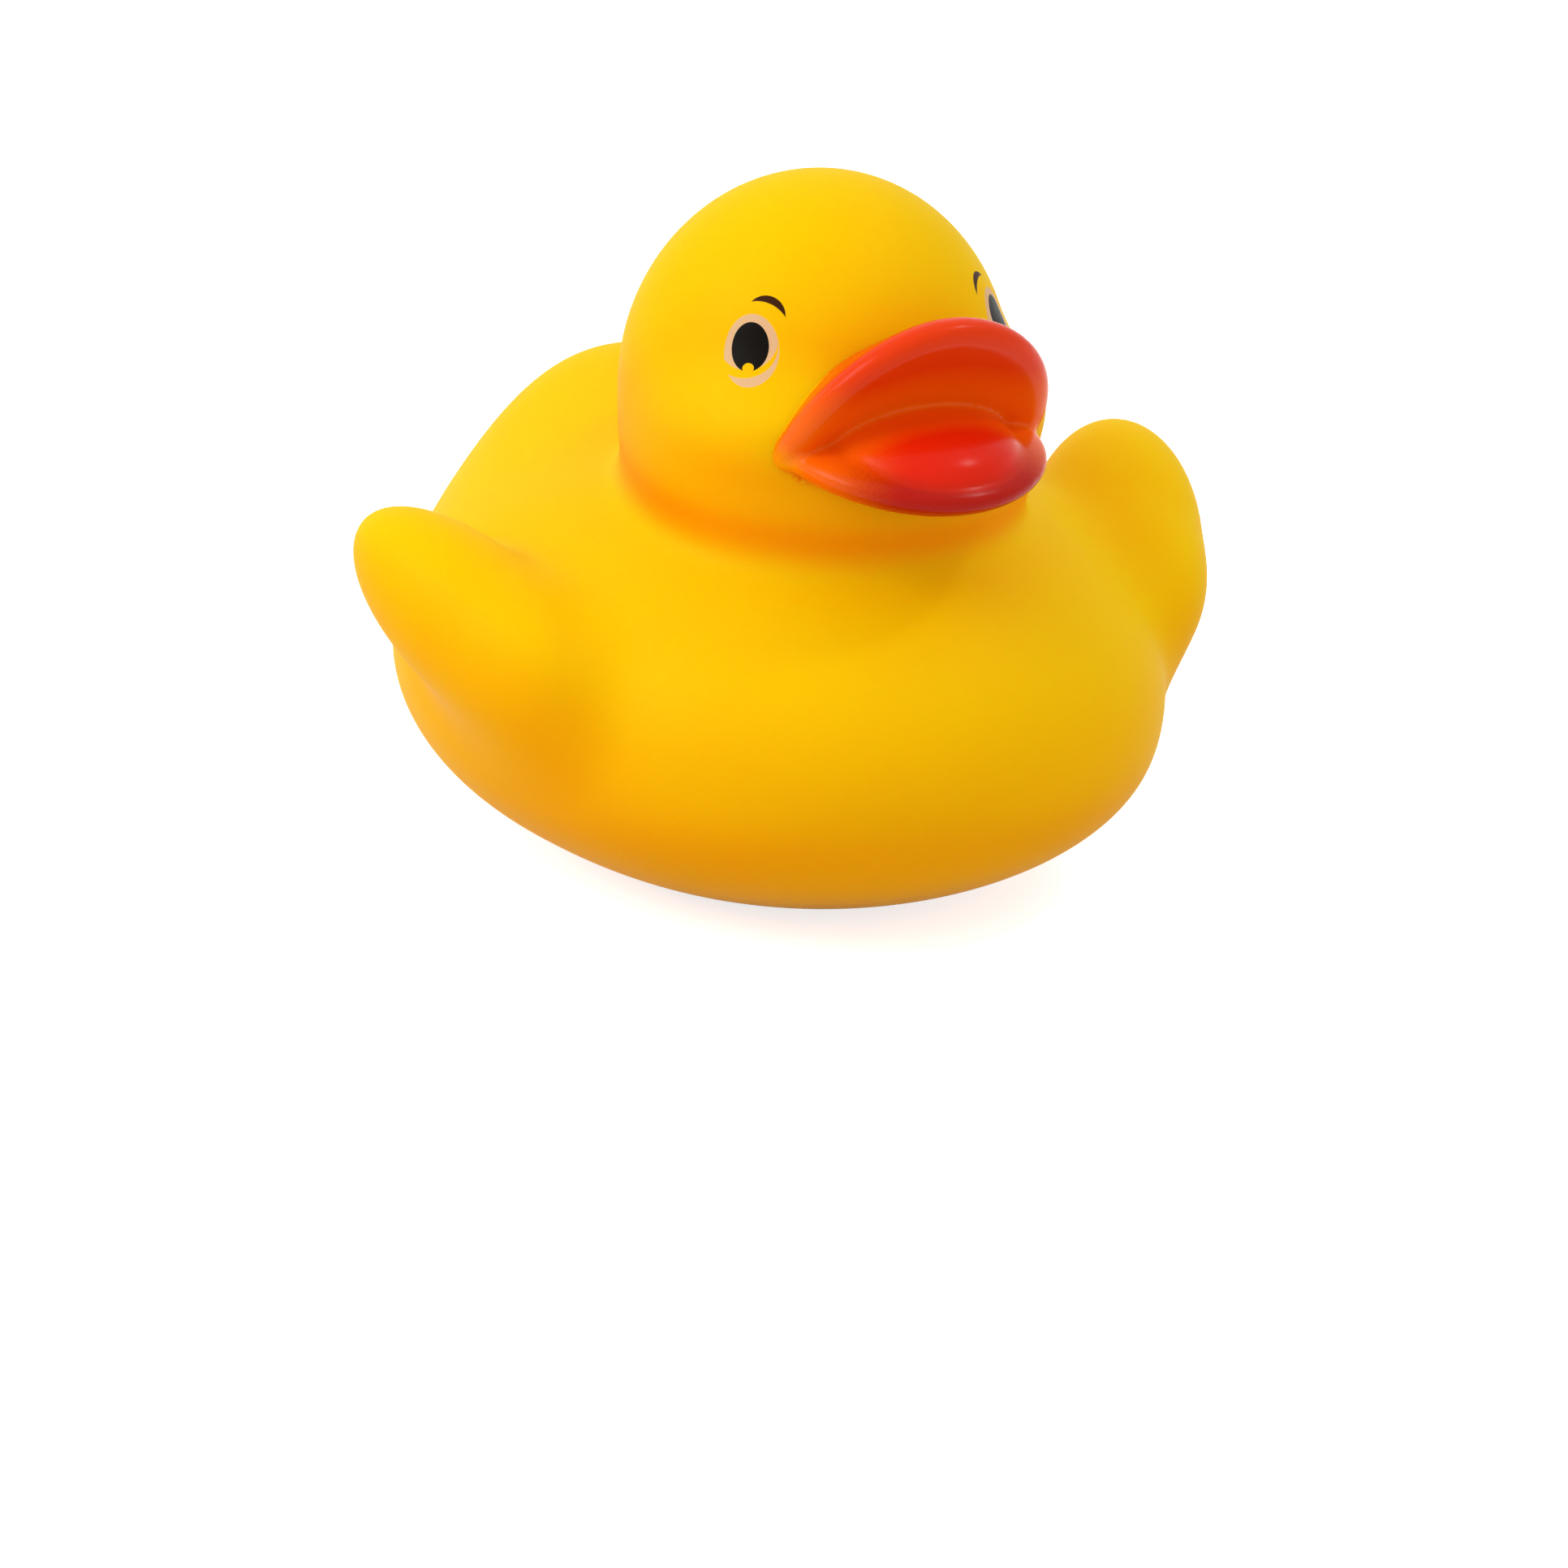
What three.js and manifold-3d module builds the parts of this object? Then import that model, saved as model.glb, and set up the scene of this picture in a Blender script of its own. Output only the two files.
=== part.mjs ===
// A rubber bath duck: one hollow moulding of soft vinyl, with a squeaker pressed into its base.
// Millimetres, +Z up. The duck faces -Y and its right side is at -X.
// The origin is on the ground, under the middle of the duck.
import * as THREE from "three";
import { mergeVertices } from "three/addons/utils/BufferGeometryUtils.js";
import Module from "manifold-3d";

// Body: a wide bowl with a fuller breast, standing on a flat base.
const BODY_FORWARD = 0.25;
const BODY_UP = 14.3;
const BODY_HALF_WIDTH = 26.8;
const BODY_HALF_LENGTH = 28.7;
const BODY_HALF_HEIGHT = 15.7;
const BREAST_FORWARD = 13.55;
const BREAST_UP = 11.6;
const BREAST_HALF_WIDTH = 18.9;
const BREAST_HALF_LENGTH = 15.2;
const BREAST_HALF_HEIGHT = 7.9;
const BREAST_BLEND = 7;
const BASE_EDGE_ROUND = 0.5;

// Tail: a thick blade as wide as the back, rising behind the head.
const TAIL_BACK = 15.05;
const TAIL_UP = 13.3;
const TAIL_HALF_WIDTH = 13.1;
const TAIL_HALF_LENGTH = 19.3;
const TAIL_HALF_THICKNESS = 8.8;
const TAIL_RISE_DEGREES = 55;
const TAIL_BLEND = 11;

// Head: nearly a ball, leaning forward, with a cheek low on each side and a jowl under it.
const HEAD_FORWARD = 4.3;
const HEAD_UP = 35.6;
const HEAD_HALF_WIDTH = 13.8;
const HEAD_HALF_LENGTH = 13.6;
const HEAD_HALF_HEIGHT = 15.1;
const HEAD_LEAN_DEGREES = 10.6;
const CHEEK_OUT = 6.3;
const CHEEK_FORWARD = 9.85;
const CHEEK_UP = 35.3;
const CHEEK_HALF_WIDTH = 8.2;
const CHEEK_HALF_LENGTH = 9;
const CHEEK_HALF_HEIGHT = 5.1;
const CHEEK_BLEND = 2.3;
const JOWL_FORWARD = 7.5;
const JOWL_UP = 30.5;
const JOWL_HALF_WIDTH = 14.3;
const JOWL_HALF_LENGTH = 13;
const JOWL_HALF_HEIGHT = 8.5;
const JOWL_BLEND = 3;
const NECK_BLEND = 3;

// Wings: one paddle on each side, its broad root low at the front and its tip up, back and out.
// The root is placed from the middle of the paddle, along the paddle's own directions.
const WING_OUT = 25.1;
const WING_FORWARD = 4.05;
const WING_UP = 19.8;
const WING_HALF_LENGTH = 12.4;
const WING_HALF_WIDTH = 7;
const WING_HALF_THICKNESS = 5.4;
const WING_RISE_DEGREES = 27;
const WING_SPREAD_DEGREES = 24;
const WING_TWIST_DEGREES = 48;
const WING_ROOT_IN = 0.5;
const WING_ROOT_FORWARD = 5.5;
const WING_ROOT_DOWN = 1.2;
const WING_ROOT_HALF_THICKNESS = 4.6;
const WING_ROOT_HALF_LENGTH = 6.6;
const WING_ROOT_HALF_WIDTH = 7.6;
const WING_ROOT_BLEND = 3;
const WING_BLEND = 2.7;

// Bill: an open beak. The upper lip is a fan that leans forward from the corners of the mouth,
// hollowed like a spoon. The lower lip is a rounded shelf. A tongue fills the mouth between them,
// and a gum as wide as the mouth joins it to both corners.
const MOUTH_CORNER_FORWARD = 18.1;
const MOUTH_CORNER_UP = 34;
const UPPER_LIP_HALF_WIDTH = 10.5;
const UPPER_LIP_RISE = 11.2;
const UPPER_LIP_REACH = 5.8;
const UPPER_LIP_BOW = 0.6;
const UPPER_LIP_HOLLOW = 1.6;
const UPPER_LIP_ROUND = 1;
const UPPER_LIP_THICKNESS = 8;
const UPPER_LIP_ROOT_SHARE = 0.7;
const LOWER_LIP_FORWARD = 18.1;
const LOWER_LIP_UP = 33.7;
const LOWER_LIP_HALF_WIDTH = 9.9;
const LOWER_LIP_HALF_LENGTH = 9.7;
const LOWER_LIP_HALF_HEIGHT = 2.3;
const LOWER_LIP_DROOP_DEGREES = 4;
const TONGUE_FORWARD = 19.3;
const TONGUE_UP = 35.2;
const TONGUE_HALF_WIDTH = 6.8;
const TONGUE_HALF_LENGTH = 7.4;
const TONGUE_HALF_HEIGHT = 2.9;
const TONGUE_DROOP_DEGREES = 0;
const GUM_FORWARD = 17.6;
const GUM_UP = 34.9;
const GUM_HALF_WIDTH = 10.2;
const GUM_HALF_LENGTH = 3.6;
const GUM_HALF_HEIGHT = 2.4;
const GUM_DROOP_DEGREES = 0;

// Wall of the moulding, and the seat of the squeaker in its base.
const WALL = 1.5;
const HOLE_RADIUS = 3.5;
const RECESS_RADIUS = 6;
const RECESS_DEPTH = 1.2;
const BOSS_RADIUS = 8;

// Squeaker: a small spool with an air hole, its flanges on either side of the wall.
const CLEARANCE = 0.3;
const SQUEAKER_INNER_FLANGE_RADIUS = 5;
const SQUEAKER_INNER_FLANGE_THICKNESS = 1.2;
const SQUEAKER_AIR_HOLE_RADIUS = 1;
const SQUEAKER_SET_BACK = 0.2;

// Lengths of the triangle edges on the outer skin, on its bill and on the inner skin.
const SKIN_EDGE = 2.2;
const CREASE_EDGE = 1.25;
const CREASE_SPREAD = 0.35;
const BILL_EDGE = 1.1;
const HOLLOW_EDGE = 3.4;
const FAN_SEGMENTS = 56;
const FAN_FACE_STEPS = 8;
const FAN_RIM_STEPS = 6;
const FAN_RIM_TURN = 2;
const FAN_FLANK_STEPS = 4;
const ROUND_SEGMENTS = 48;

// How a skin grows: in stages, each a few short steps towards the form.
const FIRST_STAGE = 0.3;
const STAGES = 24;
const STAGE_STEPS = 2;
const SETTLE_ROUNDS = 6;
const LAST_STEPS = 4;
const LONGEST_STEP = 1.5;
const FLATTEST_SLOPE = 0.3;
const PROBE = 0.01;
const PROBE_CORNERS = [[1, 1, 1], [1, -1, -1], [-1, 1, -1], [-1, -1, 1]];
const RELAX_SHARE = 0.6;
const LONG_EDGE = 1.4;
const WIDE_ANGLES = Math.PI + 0.1;
const SAME_PLACE = 1e-4;
const MOST_POINTS = 1e6;

// Roughly the distance from a point to an ellipsoid about the origin, negative inside.
function ellipsoid(x, y, z, halfX, halfY, halfZ) {
  const ux = x / halfX;
  const uy = y / halfY;
  const uz = z / halfZ;
  const reach = Math.sqrt(ux * ux + uy * uy + uz * uz);
  const slope = Math.hypot(ux / halfX, uy / halfY, uz / halfZ);
  return slope > 0 ? (reach * (reach - 1)) / slope : -Math.min(halfX, halfY, halfZ);
}

// Join of two forms with a fillet that starts where they are a reach apart.
function join(a, b, reach) {
  const near = Math.max(reach - Math.abs(a - b), 0);
  return Math.min(a, b) - (near * near) / (4 * reach);
}

// What two forms share, with a rounded edge of the same kind.
function common(a, b, reach) {
  return -join(-a, -b, reach);
}

// An ellipsoid placed from the ground's middle, tipped up at its back by some degrees.
function tipped(x, y, z, forward, up, half, degrees) {
  const turn = THREE.MathUtils.degToRad(degrees);
  const back = y + forward;
  const rise = z - up;
  const along = back * Math.cos(turn) + rise * Math.sin(turn);
  const across = rise * Math.cos(turn) - back * Math.sin(turn);
  return ellipsoid(x, along, across, ...half);
}

const bodyHalf = [BODY_HALF_WIDTH, BODY_HALF_LENGTH, BODY_HALF_HEIGHT];
const breastHalf = [BREAST_HALF_WIDTH, BREAST_HALF_LENGTH, BREAST_HALF_HEIGHT];
const tailHalf = [TAIL_HALF_WIDTH, TAIL_HALF_LENGTH, TAIL_HALF_THICKNESS];
const headHalf = [HEAD_HALF_WIDTH, HEAD_HALF_LENGTH, HEAD_HALF_HEIGHT];
const cheekHalf = [CHEEK_HALF_WIDTH, CHEEK_HALF_LENGTH, CHEEK_HALF_HEIGHT];
const jowlHalf = [JOWL_HALF_WIDTH, JOWL_HALF_LENGTH, JOWL_HALF_HEIGHT];
const wingHalf = [WING_HALF_THICKNESS, WING_HALF_LENGTH, WING_HALF_WIDTH];
const rootHalf = [WING_ROOT_HALF_THICKNESS, WING_ROOT_HALF_LENGTH, WING_ROOT_HALF_WIDTH];

// Directions of a wing's thickness, length and width.
const wingTurn = new THREE.Matrix4()
  .makeRotationZ(-THREE.MathUtils.degToRad(WING_SPREAD_DEGREES))
  .multiply(new THREE.Matrix4().makeRotationX(THREE.MathUtils.degToRad(WING_RISE_DEGREES)))
  .multiply(new THREE.Matrix4().makeRotationY(THREE.MathUtils.degToRad(WING_TWIST_DEGREES)));
const wingAxes = [new THREE.Vector3(), new THREE.Vector3(), new THREE.Vector3()];
wingTurn.extractBasis(...wingAxes);

function bowl(x, y, z) {
  const middle = tipped(x, y, z, BODY_FORWARD, BODY_UP, bodyHalf, 0);
  const breast = tipped(x, y, z, BREAST_FORWARD, BREAST_UP, breastHalf, 0);
  return join(middle, breast, BREAST_BLEND);
}

function tail(x, y, z) {
  return tipped(x, y, z, -TAIL_BACK, TAIL_UP, tailHalf, TAIL_RISE_DEGREES);
}

function wing(x, y, z) {
  const out = x - WING_OUT;
  const back = y + WING_FORWARD;
  const up = z - WING_UP;
  const [thick, long, wide] = wingAxes.map((axis) => axis.x * out + axis.y * back + axis.z * up);
  const paddle = ellipsoid(thick, long, wide, ...wingHalf);
  const root = ellipsoid(
    thick + WING_ROOT_IN,
    long + WING_ROOT_FORWARD,
    wide + WING_ROOT_DOWN,
    ...rootHalf,
  );
  return join(paddle, root, WING_ROOT_BLEND);
}

function head(x, y, z) {
  const skull = tipped(x, y, z, HEAD_FORWARD, HEAD_UP, headHalf, HEAD_LEAN_DEGREES);
  const cheek = tipped(x - CHEEK_OUT, y, z, CHEEK_FORWARD, CHEEK_UP, cheekHalf, 0);
  const jowl = tipped(x, y, z, JOWL_FORWARD, JOWL_UP, jowlHalf, 0);
  return join(join(skull, cheek, CHEEK_BLEND), jowl, JOWL_BLEND);
}

// The whole outer form at a point, negative inside. At a stage below 1 the head, wings
// and tail are drawn in towards the middle of the body by that factor.
function form(px, py, pz, stage) {
  const side = Math.abs(px);
  const x = side / stage;
  const y = (py + BODY_FORWARD) / stage - BODY_FORWARD;
  const z = BODY_UP + (pz - BODY_UP) / stage;
  let skin = bowl(side, py, pz);
  skin = join(skin, stage * tail(x, y, z), TAIL_BLEND);
  skin = join(skin, stage * wing(x, y, z), WING_BLEND);
  skin = join(skin, stage * head(x, y, z), NECK_BLEND);
  return common(skin, -pz, BASE_EDGE_ROUND);
}

// The edge length wanted at a point: short in the creases, where two parts come close together.
function edgeAt(point) {
  const side = Math.abs(point[0]);
  const trunk = join(bowl(side, point[1], point[2]), tail(side, point[1], point[2]), TAIL_BLEND);
  const limb = Math.min(wing(side, point[1], point[2]), head(side, point[1], point[2]));
  const spread = Math.abs(trunk - limb) * CREASE_SPREAD;
  return Math.min(CREASE_EDGE + spread, SKIN_EDGE);
}

// A skin is a list of corner points, with the way out of the form at each, and of triangles.
function startSkin(edge) {
  const detail = Math.round(BODY_HALF_LENGTH / edge);
  const ball = new THREE.IcosahedronGeometry(1, detail);
  ball.deleteAttribute("normal");
  ball.deleteAttribute("uv");
  const merged = mergeVertices(ball, SAME_PLACE);
  merged.scale(BODY_HALF_WIDTH, BODY_HALF_LENGTH, BODY_HALF_HEIGHT);
  merged.translate(0, -BODY_FORWARD, BODY_UP);
  const place = merged.attributes.position;
  const points = [];
  for (let i = 0; i < place.count; i++) points.push([place.getX(i), place.getY(i), place.getZ(i)]);
  return { points, outward: points.map(() => [0, 0, 1]), triangles: [...merged.index.array] };
}

// Moves each point straight onto the form, or to a depth under it, in short steps. The slope
// comes from four probes round the point, at alternate corners of a tiny cube.
function press(skin, stage, depth, rounds) {
  skin.points.forEach((point, i) => {
    for (let round = 0; round < rounds; round++) {
      const slope = [0, 0, 0];
      let level = 0;
      for (const corner of PROBE_CORNERS) {
        const probe = point.map((at, k) => at + corner[k] * PROBE);
        const here = form(...probe, stage) / PROBE_CORNERS.length;
        level += here;
        for (let k = 0; k < 3; k++) slope[k] += (corner[k] * here) / PROBE;
      }
      const steep = Math.max(Math.hypot(...slope), FLATTEST_SLOPE);
      const step = THREE.MathUtils.clamp((level + depth) / steep, -LONGEST_STEP, LONGEST_STEP);
      for (let k = 0; k < 3; k++) {
        skin.outward[i][k] = slope[k] / steep;
        point[k] -= (step * slope[k]) / steep;
      }
    }
  });
}

// Slides each point along the surface towards the middle of its neighbours.
function relax(skin) {
  const sums = skin.points.map(() => [0, 0, 0, 0]);
  const { triangles, points } = skin;
  for (let i = 0; i < triangles.length; i += 3) {
    for (let j = 0; j < 3; j++) {
      const sum = sums[triangles[i + j]];
      const next = points[triangles[i + ((j + 1) % 3)]];
      for (let k = 0; k < 3; k++) sum[k] += next[k];
      sum[3]++;
    }
  }
  points.forEach((point, i) => {
    const move = point.map((at, k) => sums[i][k] / sums[i][3] - at);
    const outward = skin.outward[i];
    const rise = move[0] * outward[0] + move[1] * outward[1] + move[2] * outward[2];
    for (let k = 0; k < 3; k++) point[k] += RELAX_SHARE * (move[k] - rise * outward[k]);
  });
}

const span = (a, b) => Math.hypot(a[0] - b[0], a[1] - b[1], a[2] - b[2]);

// Puts a point in the middle of each edge that is too long, and divides its triangles.
function divide(skin, wanted) {
  const { points, outward } = skin;
  const middles = new Map();
  const middleOf = (a, b) => {
    const key = Math.min(a, b) * MOST_POINTS + Math.max(a, b);
    if (!middles.has(key)) {
      const middle = points[a].map((at, k) => (at + points[b][k]) / 2);
      const long = span(points[a], points[b]) > LONG_EDGE * wanted(middle);
      middles.set(key, long ? points.push(middle) - 1 : -1);
      if (long) outward.push([...outward[a]]);
    }
    return middles.get(key);
  };
  const divided = [];
  for (let i = 0; i < skin.triangles.length; i += 3) {
    let corner = skin.triangles.slice(i, i + 3);
    let middle = corner.map((a, j) => middleOf(a, corner[(j + 1) % 3]));
    const cuts = middle.filter((m) => m >= 0).length;
    while (cuts && !(middle[0] >= 0 && (cuts !== 2 || middle[2] < 0))) {
      corner = [corner[1], corner[2], corner[0]];
      middle = [middle[1], middle[2], middle[0]];
    }
    const [a, b, c] = corner;
    const [ab, bc, ca] = middle;
    if (cuts === 0) divided.push(a, b, c);
    if (cuts === 1) divided.push(a, ab, c, ab, b, c);
    if (cuts === 2) divided.push(ab, b, bc, a, ab, bc, a, bc, c);
    if (cuts === 3) divided.push(a, ab, ca, ab, b, bc, ca, bc, c, ab, bc, ca);
  }
  skin.triangles = divided;
}

// Turns the shared edge of two thin triangles to their other diagonal.
function turnEdges(skin) {
  const { points, triangles } = skin;
  const owners = new Map();
  const keyOf = (a, b) => a * MOST_POINTS + b;
  for (let i = 0; i < triangles.length; i++) {
    const next = i % 3 === 2 ? i - 2 : i + 1;
    owners.set(keyOf(triangles[i], triangles[next]), i);
  }
  const angle = (tip, a, b) => {
    const u = points[a].map((at, k) => at - points[tip][k]);
    const v = points[b].map((at, k) => at - points[tip][k]);
    const dot = u[0] * v[0] + u[1] * v[1] + u[2] * v[2];
    return Math.acos(THREE.MathUtils.clamp(dot / (Math.hypot(...u) * Math.hypot(...v) || 1), -1, 1));
  };
  const touched = new Set();
  for (const [key, at] of [...owners]) {
    const a = Math.floor(key / MOST_POINTS);
    const b = key % MOST_POINTS;
    const across = owners.get(keyOf(b, a));
    const one = Math.floor(at / 3);
    const two = Math.floor(across / 3);
    if (a > b || touched.has(one) || touched.has(two)) continue;
    const c = triangles[3 * one] + triangles[3 * one + 1] + triangles[3 * one + 2] - a - b;
    const d = triangles[3 * two] + triangles[3 * two + 1] + triangles[3 * two + 2] - a - b;
    if (owners.has(keyOf(c, d)) || owners.has(keyOf(d, c))) continue;
    if (angle(c, a, b) + angle(d, a, b) < WIDE_ANGLES) continue;
    triangles.splice(3 * one, 3, a, d, c);
    triangles.splice(3 * two, 3, d, b, c);
    owners.set(keyOf(c, d), 3 * one + 1);
    owners.set(keyOf(d, c), 3 * two);
    touched.add(one).add(two);
  }
}

// Grows a closed skin from a ball in the body until it fills the form, as the soft plastic
// fills its mould. Depth is how far under the outer form the skin ends.
function growSkin(depth, edge, wanted) {
  const skin = startSkin(edge);
  for (let step = 0; step <= STAGES; step++) {
    const stage = FIRST_STAGE + ((1 - FIRST_STAGE) * step) / STAGES;
    press(skin, stage, depth, STAGE_STEPS);
    divide(skin, wanted);
    turnEdges(skin);
    relax(skin);
  }
  for (let round = 0; round < SETTLE_ROUNDS; round++) {
    press(skin, 1, depth, 1);
    divide(skin, wanted);
    turnEdges(skin);
    relax(skin);
  }
  press(skin, 1, depth, LAST_STEPS);
  return skin;
}

const wasm = await Module();
wasm.setup();

function solidOf(geometry) {
  const bare = geometry.clone();
  bare.deleteAttribute("normal");
  bare.deleteAttribute("uv");
  const merged = mergeVertices(bare, SAME_PLACE);
  return new wasm.Manifold(
    new wasm.Mesh({
      numProp: 3,
      vertProperties: merged.attributes.position.array,
      triVerts: new Uint32Array(merged.index.array),
    }),
  );
}

function geometryOf(solid) {
  const mesh = solid.getMesh();
  const geometry = new THREE.BufferGeometry();
  geometry.setAttribute("position", new THREE.BufferAttribute(mesh.vertProperties, 3));
  geometry.setIndex(new THREE.BufferAttribute(mesh.triVerts, 1));
  geometry.computeVertexNormals();
  return geometry;
}

function skinSolid(skin) {
  const geometry = new THREE.BufferGeometry();
  const flat = new Float32Array(skin.points.flat());
  geometry.setAttribute("position", new THREE.BufferAttribute(flat, 3));
  geometry.setIndex(skin.triangles);
  return solidOf(geometry);
}

// The upper lip is turned as a round plate of radius 1, then drawn out to its own outline. What
// of the plate lies under the mouth's corners is pressed flat behind the lower lip.
function fan() {
  const share = UPPER_LIP_ROUND / UPPER_LIP_RISE;
  const faceEdge = 1 - share;
  const profile = [];
  for (let i = 0; i <= FAN_FACE_STEPS; i++) {
    const out = i / FAN_FACE_STEPS;
    profile.push(new THREE.Vector2(out * faceEdge, UPPER_LIP_HOLLOW * (1 - out ** 2)));
  }
  for (let i = 1; i <= FAN_RIM_STEPS; i++) {
    const turn = (i / FAN_RIM_STEPS) * FAN_RIM_TURN;
    const deep = UPPER_LIP_ROUND * (1 - Math.cos(turn));
    profile.push(new THREE.Vector2(faceEdge + share * Math.sin(turn), deep));
  }
  const rim = profile[profile.length - 1];
  const root = new THREE.Vector2(UPPER_LIP_ROOT_SHARE, UPPER_LIP_THICKNESS);
  for (let i = 1; i <= FAN_FLANK_STEPS; i++) {
    profile.push(rim.clone().lerp(root, i / FAN_FLANK_STEPS));
  }
  profile.push(new THREE.Vector2(0, UPPER_LIP_THICKNESS));
  const plate = new THREE.LatheGeometry(profile, FAN_SEGMENTS);
  const place = plate.attributes.position;
  for (let i = 0; i < place.count; i++) {
    const across = place.getX(i);
    const depth = place.getY(i);
    const upright = place.getZ(i);
    const rise = Math.max(upright, 0);
    const bow = UPPER_LIP_BOW * rise * rise * (1 - rise);
    const forward = UPPER_LIP_REACH * (rise + bow) - depth;
    const up = upright > 0 ? upright * UPPER_LIP_RISE : (upright * LOWER_LIP_HALF_HEIGHT) / 2;
    place.setXYZ(
      i,
      across * UPPER_LIP_HALF_WIDTH,
      -MOUTH_CORNER_FORWARD - forward,
      MOUTH_CORNER_UP + up,
    );
  }
  return plate;
}

// A flattened ball, for the lower lip, the tongue and the gum.
function pad(halfWidth, halfLength, halfHeight, forward, up, droop) {
  const detail = Math.round(Math.max(halfWidth, halfLength) / BILL_EDGE) - 1;
  const ball = new THREE.IcosahedronGeometry(1, detail);
  ball.scale(halfWidth, halfLength, halfHeight);
  ball.rotateX(THREE.MathUtils.degToRad(droop));
  ball.translate(0, -forward, up);
  return ball;
}

const outer = growSkin(0, SKIN_EDGE, edgeAt);
const inner = growSkin(WALL, HOLLOW_EDGE, () => HOLLOW_EDGE);
const lowerLip = pad(
  LOWER_LIP_HALF_WIDTH,
  LOWER_LIP_HALF_LENGTH,
  LOWER_LIP_HALF_HEIGHT,
  LOWER_LIP_FORWARD,
  LOWER_LIP_UP,
  LOWER_LIP_DROOP_DEGREES,
);
const tongue = pad(
  TONGUE_HALF_WIDTH,
  TONGUE_HALF_LENGTH,
  TONGUE_HALF_HEIGHT,
  TONGUE_FORWARD,
  TONGUE_UP,
  TONGUE_DROOP_DEGREES,
);
const gum = pad(
  GUM_HALF_WIDTH,
  GUM_HALF_LENGTH,
  GUM_HALF_HEIGHT,
  GUM_FORWARD,
  GUM_UP,
  GUM_DROOP_DEGREES,
);

// The base is thicker round the squeaker's seat: a hole through it, in a shallow recess.
const seatTop = RECESS_DEPTH + WALL;
const boss = new THREE.CylinderGeometry(BOSS_RADIUS, BOSS_RADIUS, seatTop, ROUND_SEGMENTS);
boss.rotateX(Math.PI / 2);
boss.translate(0, -BODY_FORWARD, seatTop / 2);

// A turned piece standing on the middle of the base, from its outline of radius and height.
function turned(outline) {
  const points = outline.map(([radius, up]) => new THREE.Vector2(radius, up));
  const piece = new THREE.LatheGeometry(points, ROUND_SEGMENTS);
  piece.rotateX(Math.PI / 2);
  piece.translate(0, -BODY_FORWARD, 0);
  return piece;
}

const seat = turned([
  [0, -WALL],
  [RECESS_RADIUS, -WALL],
  [RECESS_RADIUS, RECESS_DEPTH],
  [HOLE_RADIUS, RECESS_DEPTH],
  [HOLE_RADIUS, seatTop + WALL],
  [0, seatTop + WALL],
]);

const squeaker = turned([
  [SQUEAKER_AIR_HOLE_RADIUS, SQUEAKER_SET_BACK],
  [RECESS_RADIUS - CLEARANCE, SQUEAKER_SET_BACK],
  [RECESS_RADIUS - CLEARANCE, RECESS_DEPTH - CLEARANCE],
  [HOLE_RADIUS - CLEARANCE, RECESS_DEPTH - CLEARANCE],
  [HOLE_RADIUS - CLEARANCE, seatTop + CLEARANCE],
  [SQUEAKER_INNER_FLANGE_RADIUS, seatTop + CLEARANCE],
  [SQUEAKER_INNER_FLANGE_RADIUS, seatTop + CLEARANCE + SQUEAKER_INNER_FLANGE_THICKNESS],
  [SQUEAKER_AIR_HOLE_RADIUS, seatTop + CLEARANCE + SQUEAKER_INNER_FLANGE_THICKNESS],
  [SQUEAKER_AIR_HOLE_RADIUS, SQUEAKER_SET_BACK],
]);

const shell = skinSolid(outer)
  .add(solidOf(fan()))
  .add(solidOf(lowerLip))
  .add(solidOf(tongue))
  .add(solidOf(gum))
  .subtract(skinSolid(inner).subtract(solidOf(boss)))
  .subtract(solidOf(seat));

const duck = new THREE.Group();

function addPiece(name, geometry, color, roughness) {
  const material = new THREE.MeshStandardMaterial({ color, roughness, metalness: 0 });
  const piece = new THREE.Mesh(geometry, material);
  piece.name = name;
  duck.add(piece);
}

addPiece("duck_shell", geometryOf(shell), 0xf5c400, 0.45);
addPiece("squeaker", squeaker, 0xf4efe2, 0.5);

export default duck;
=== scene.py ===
# %% [markdown]
# A rubber bath duck is one hollow moulding of soft vinyl. Its whole outside is a handful of
# swelling forms that run into each other: a bowl of a body with a fuller breast, a broad tail,
# two wings and a head with cheeks. The bill is a separate form in the eye's reading, because it
# is sprayed red and has crisp lips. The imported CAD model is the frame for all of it.

# %% Load the CAD frame
import math

import bmesh
import bpy
import numpy as np
from mathutils import Matrix, Vector


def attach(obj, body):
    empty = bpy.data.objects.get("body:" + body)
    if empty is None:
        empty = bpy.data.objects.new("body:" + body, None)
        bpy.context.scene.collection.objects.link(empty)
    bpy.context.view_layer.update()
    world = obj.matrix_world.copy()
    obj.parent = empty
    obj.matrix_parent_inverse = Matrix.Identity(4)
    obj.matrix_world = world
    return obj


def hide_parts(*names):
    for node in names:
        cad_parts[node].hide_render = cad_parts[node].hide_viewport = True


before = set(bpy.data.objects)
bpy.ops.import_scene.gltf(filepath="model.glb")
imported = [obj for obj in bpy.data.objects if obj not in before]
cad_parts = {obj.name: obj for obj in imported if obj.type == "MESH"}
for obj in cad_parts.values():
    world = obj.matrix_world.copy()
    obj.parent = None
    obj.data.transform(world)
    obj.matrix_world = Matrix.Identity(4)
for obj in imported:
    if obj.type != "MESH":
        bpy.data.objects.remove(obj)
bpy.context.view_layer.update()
MM = 0.001

# %% [markdown]
# The photograph was taken from far away with a long lens, from the duck's front right and a
# little above. The lens, the distance and the small turn of the camera about its own axis come
# from fitting the duck's outline. The camera comes first, so that every later step can be seen.

# %% Camera
CAMERA_PLACE = (-371.45, -668.20, 259.57)
CAMERA_AIM = (-0.40, -2.90, 5.28)
CAMERA_ROLL_DEGREES = 2.18
CAMERA_LENS = 259.6
SENSOR_WIDTH = 36

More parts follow.
